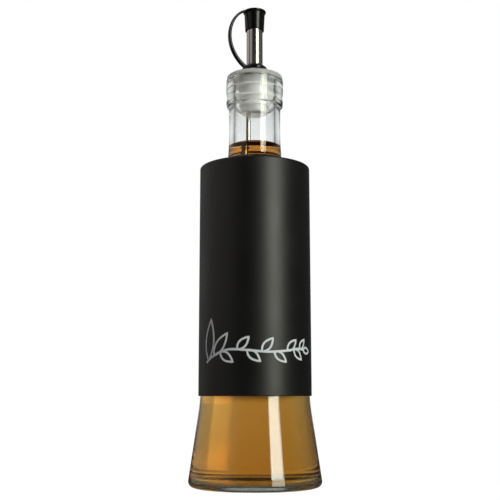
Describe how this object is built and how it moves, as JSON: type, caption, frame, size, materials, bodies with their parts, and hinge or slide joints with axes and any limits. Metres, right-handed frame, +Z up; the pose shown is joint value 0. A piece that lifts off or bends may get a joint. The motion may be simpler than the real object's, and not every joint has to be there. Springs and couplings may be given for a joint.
{
  "type": "vinegar dispenser bottle",
  "caption": "Tall glass bottle with a flared foot, black sleeve and amber vinegar, closed by a ribbed stopper with a steel spout, air tube and tethered rubber cap.",
  "frame": {"origin": "centre of the foot, on the surface that the bottle stands on", "axes": "+Z up along the bottle's axis; the cap's strap loops out on the -X side, a little towards -Y, where the sleeve's front is"},
  "size_m": [0.069, 0.069, 0.2591],
  "materials": {
    "clear_glass": "clear, polished",
    "amber_vinegar": "clear amber-brown liquid",
    "matt_black_coating": "matt",
    "milky_plastic": "translucent, satin",
    "polished_steel": "polished",
    "black_rubber": "smooth, slightly glossy"
  },
  "bodies": {
    "root": {"glass_bottle": "clear_glass", "vinegar": "amber_vinegar", "sleeve": "matt_black_coating", "stopper": "milky_plastic", "spout": "polished_steel", "air_tube": "polished_steel", "cap_strap": "black_rubber"}
  },
  "joints": []
}
